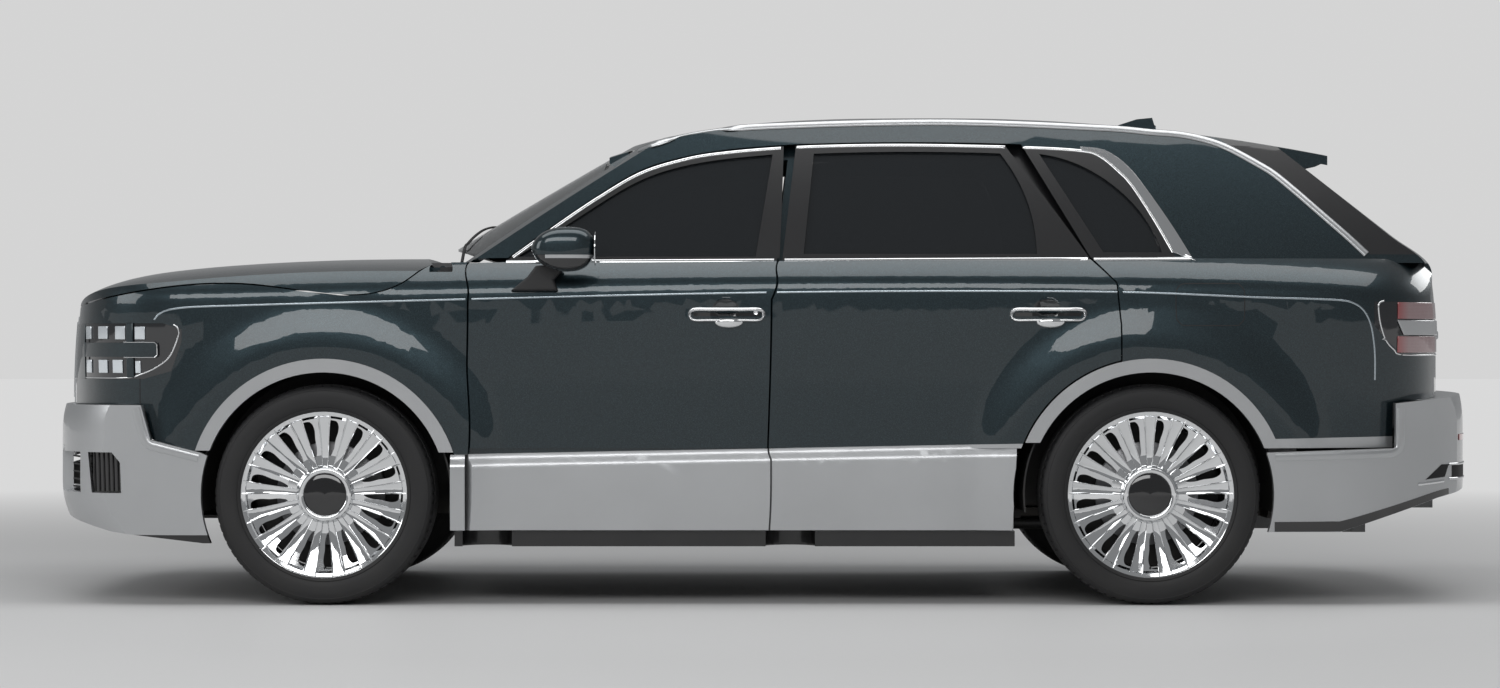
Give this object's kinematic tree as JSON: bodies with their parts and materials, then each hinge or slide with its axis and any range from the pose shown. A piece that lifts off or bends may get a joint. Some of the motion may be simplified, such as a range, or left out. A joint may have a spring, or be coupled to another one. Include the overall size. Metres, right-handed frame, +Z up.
{
  "type": "luxury crossover suv",
  "caption": "Five-door luxury crossover with a long bonnet, upright grille, hinged doors, bonnet and tailgate, steered front wheels and multi-spoke wheels.",
  "frame": {"origin": "on the ground, at the centre of the bounding box", "axes": "+X to the rear, +Y to the car's right side, +Z up; the car faces -X"},
  "size_m": [5.2056, 2.24, 1.8],
  "materials": {
    "paint": "gloss metallic",
    "underbody": "matte",
    "satin_silver": "satin",
    "black_plastic": "matte",
    "chrome": "polished",
    "lamp_glass": "clear",
    "red_lens": "gloss",
    "glass": "tinted",
    "cabin_trim": "soft matte",
    "leather": "soft",
    "chassis_metal": "cast",
    "steel": "brushed",
    "wheel_chrome": "polished",
    "tyre": "matte"
  },
  "bodies": {
    "shell": {"floor_pan": "underbody", "inner_wings": "underbody", "side_frames": "paint", "roof_panel": "paint", "scuttle": "underbody", "front_fenders": "paint", "front_bumper": "satin_silver", "rear_bumper": "satin_silver", "arch_mouldings": "satin_silver", "wheel_arch_liners": "black_plastic", "grille": "chrome", "headlamps": "lamp_glass", "tail_lamps": "red_lens", "windscreen": "glass", "quarter_windows": "glass", "dashboard": "cabin_trim", "front_seats": "leather", "rear_seat": "leather", "engine": "chassis_metal", "front_suspension": "chassis_metal", "rear_suspension": "chassis_metal", "exhaust": "steel", "undertray": "black_plastic"},
    "bonnet": {"bonnet": "paint"},
    "tailgate": {"tailgate": "paint", "rear_window": "glass"},
    "steering_wheel": {"steering_wheel": "cabin_trim"},
    "front_door_left": {"front_door_left": "paint", "front_door_glass_left": "glass", "mirror_left": "paint"},
    "rear_door_left": {"rear_door_left": "paint", "rear_door_glass_left": "glass"},
    "knuckle_left": {"knuckle_left": "chassis_metal"},
    "front_wheel_left": {"front_rim_left": "wheel_chrome", "front_tyre_left": "tyre"},
    "rear_wheel_left": {"rear_rim_left": "wheel_chrome", "rear_tyre_left": "tyre"},
    "front_door_right": {"front_door_right": "paint", "front_door_glass_right": "glass", "mirror_right": "paint"},
    "rear_door_right": {"rear_door_right": "paint", "rear_door_glass_right": "glass"},
    "knuckle_right": {"knuckle_right": "chassis_metal"},
    "front_wheel_right": {"front_rim_right": "wheel_chrome", "front_tyre_right": "tyre"},
    "rear_wheel_right": {"rear_rim_right": "wheel_chrome", "rear_tyre_right": "tyre"}
  },
  "joints": [
    {"name": "front_door_left_hinge", "type": "hinge", "parent": "shell", "child": "front_door_left", "pos_m": [-0.983, -0.905, 0.82], "axis": [0, 0, -1], "range_deg": [0, 65]},
    {"name": "rear_door_left_hinge", "type": "hinge", "parent": "shell", "child": "rear_door_left", "pos_m": [0.1015, -0.905, 0.82], "axis": [0, 0, -1], "range_deg": [0, 68]},
    {"name": "steer_left", "type": "hinge", "parent": "shell", "child": "knuckle_left", "pos_m": [-1.5625, -0.755, 0.394], "axis": [0, 0, 1], "range_deg": [-35, 35]},
    {"name": "front_wheel_left_spin", "type": "hinge", "parent": "knuckle_left", "child": "front_wheel_left", "pos_m": [-1.5625, -0.85, 0.394], "axis": [0, 1, 0], "continuous": true},
    {"name": "rear_wheel_left_spin", "type": "hinge", "parent": "shell", "child": "rear_wheel_left", "pos_m": [1.3875, -0.85, 0.394], "axis": [0, 1, 0], "continuous": true},
    {"name": "front_door_right_hinge", "type": "hinge", "parent": "shell", "child": "front_door_right", "pos_m": [-0.983, 0.905, 0.82], "axis": [0, 0, 1], "range_deg": [0, 65]},
    {"name": "rear_door_right_hinge", "type": "hinge", "parent": "shell", "child": "rear_door_right", "pos_m": [0.1015, 0.905, 0.82], "axis": [0, 0, 1], "range_deg": [0, 68]},
    {"name": "steer_right", "type": "hinge", "parent": "shell", "child": "knuckle_right", "pos_m": [-1.5625, 0.755, 0.394], "axis": [0, 0, 1], "range_deg": [-35, 35]},
    {"name": "front_wheel_right_spin", "type": "hinge", "parent": "knuckle_right", "child": "front_wheel_right", "pos_m": [-1.5625, 0.85, 0.394], "axis": [0, 1, 0], "continuous": true},
    {"name": "rear_wheel_right_spin", "type": "hinge", "parent": "shell", "child": "rear_wheel_right", "pos_m": [1.3875, 0.85, 0.394], "axis": [0, 1, 0], "continuous": true},
    {"name": "bonnet_hinge", "type": "hinge", "parent": "shell", "child": "bonnet", "pos_m": [-1.15, 0, 1.2], "axis": [0, 1, 0], "range_deg": [0, 50]},
    {"name": "tailgate_hinge", "type": "hinge", "parent": "shell", "child": "tailgate", "pos_m": [1.8, 0, 1.672], "axis": [0, -1, 0], "range_deg": [0, 75]},
    {"name": "steering_wheel_turn", "type": "hinge", "parent": "shell", "child": "steering_wheel", "pos_m": [-0.6, -0.38, 1.002], "axis": [0.9135, 0, 0.4067], "range_deg": [-455, 455]}
  ],
  "couplings": [
    {"joint": "steer_right", "follows": "steer_left", "ratio": 1},
    {"joint": "steering_wheel_turn", "follows": "steer_left", "ratio": 13}
  ]
}
